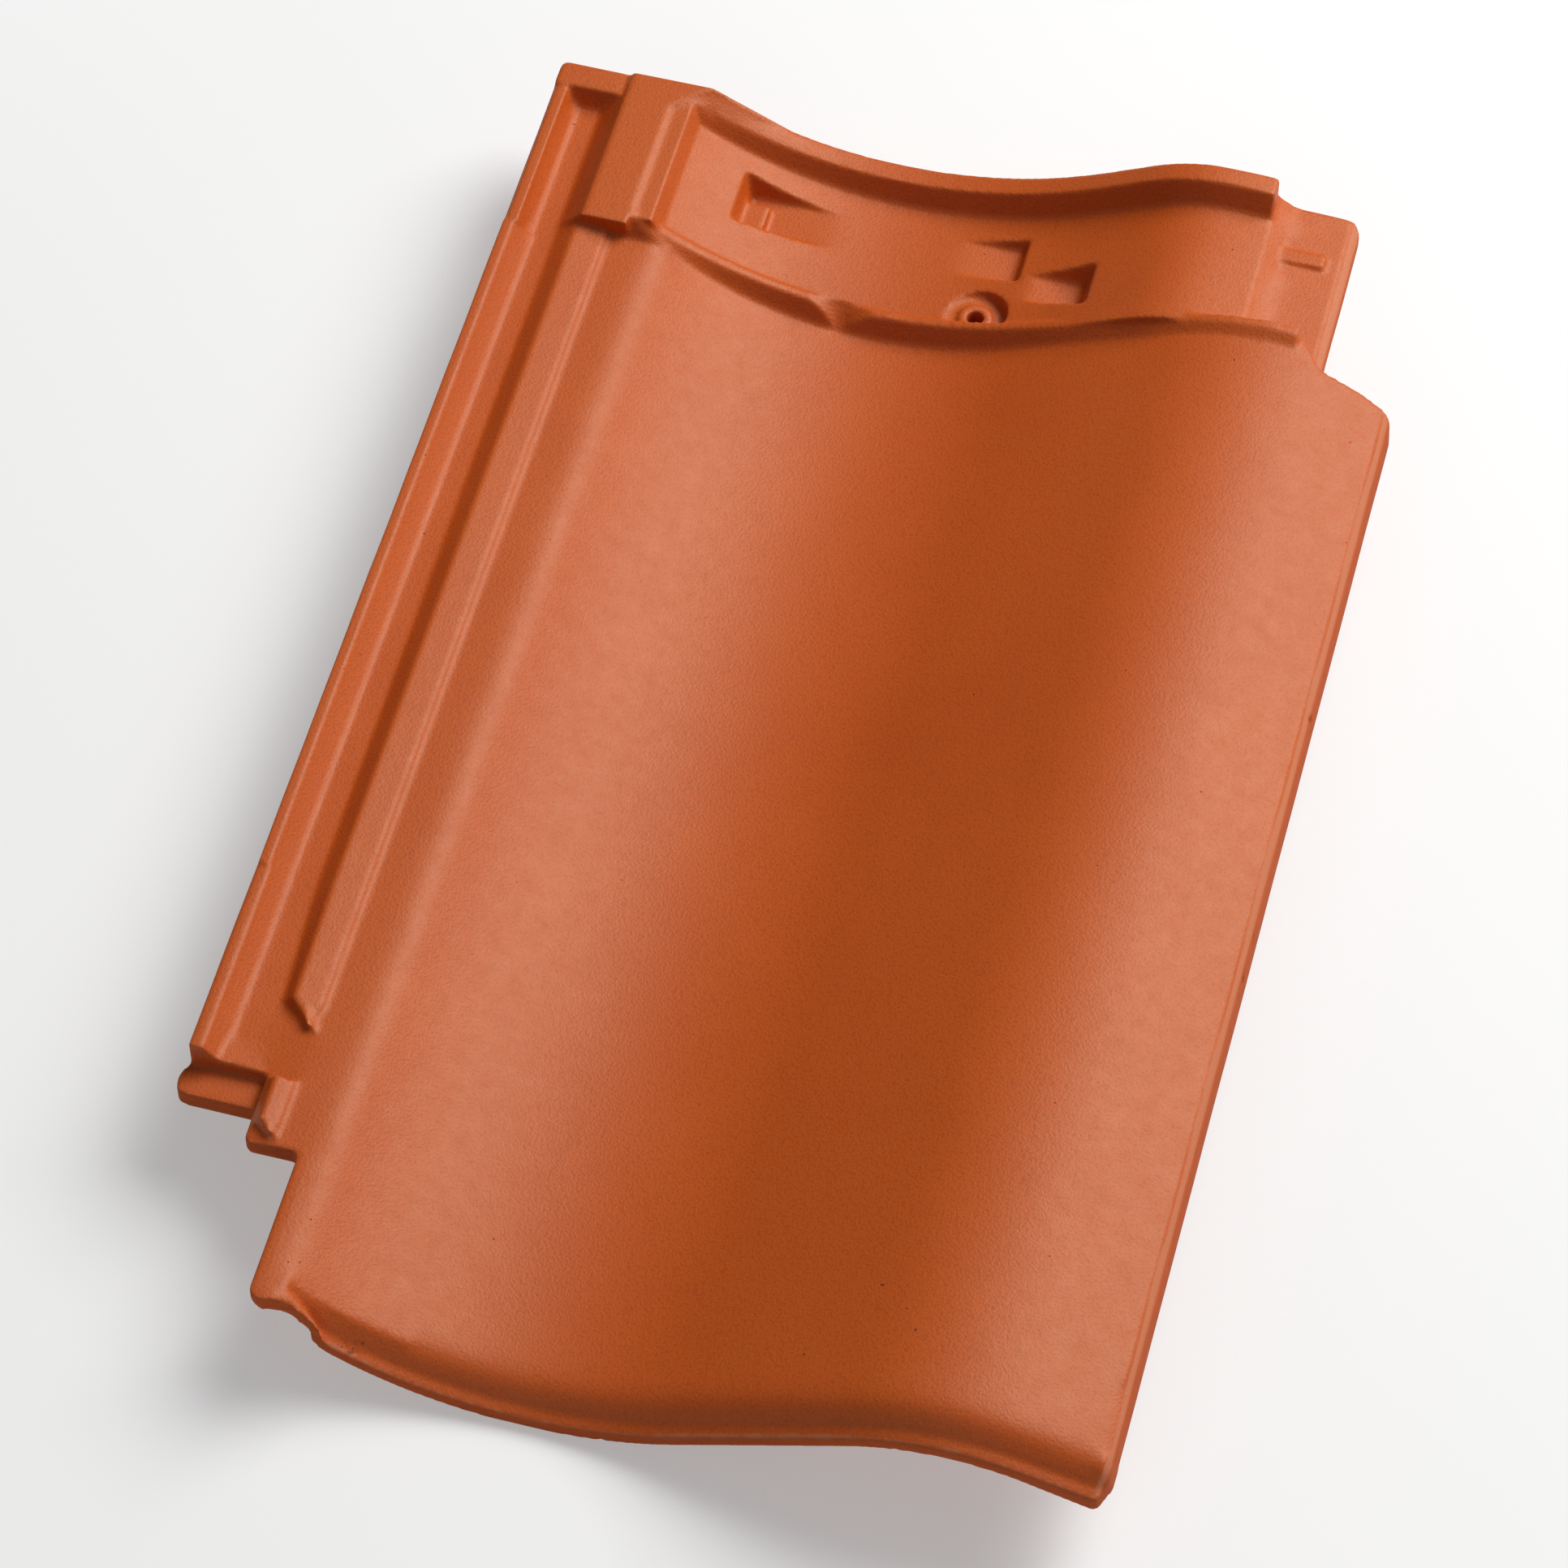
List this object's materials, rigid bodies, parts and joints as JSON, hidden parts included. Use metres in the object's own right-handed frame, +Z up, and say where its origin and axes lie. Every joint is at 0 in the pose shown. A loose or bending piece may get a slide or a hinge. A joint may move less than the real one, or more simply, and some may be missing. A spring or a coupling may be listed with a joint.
{
  "type": "clay roof tile",
  "caption": "Interlocking clay roof tile with a wide S wave, a side lock channel, a stepped head with rim and flap, a nail hole, a rounded foot nose and hanging nibs.",
  "frame": {"origin": "bottom centre of the tile's box, on the floor that the foot nose and the nibs rest on", "axes": "+X from the lock edge to the roll edge, +Y from the foot to the head, +Z up out of the water side"},
  "size_m": [0.306, 0.486, 0.0595],
  "materials": {
    "terracotta": "satin"
  },
  "bodies": {
    "root": {"roof_tile": "terracotta"}
  },
  "joints": []
}
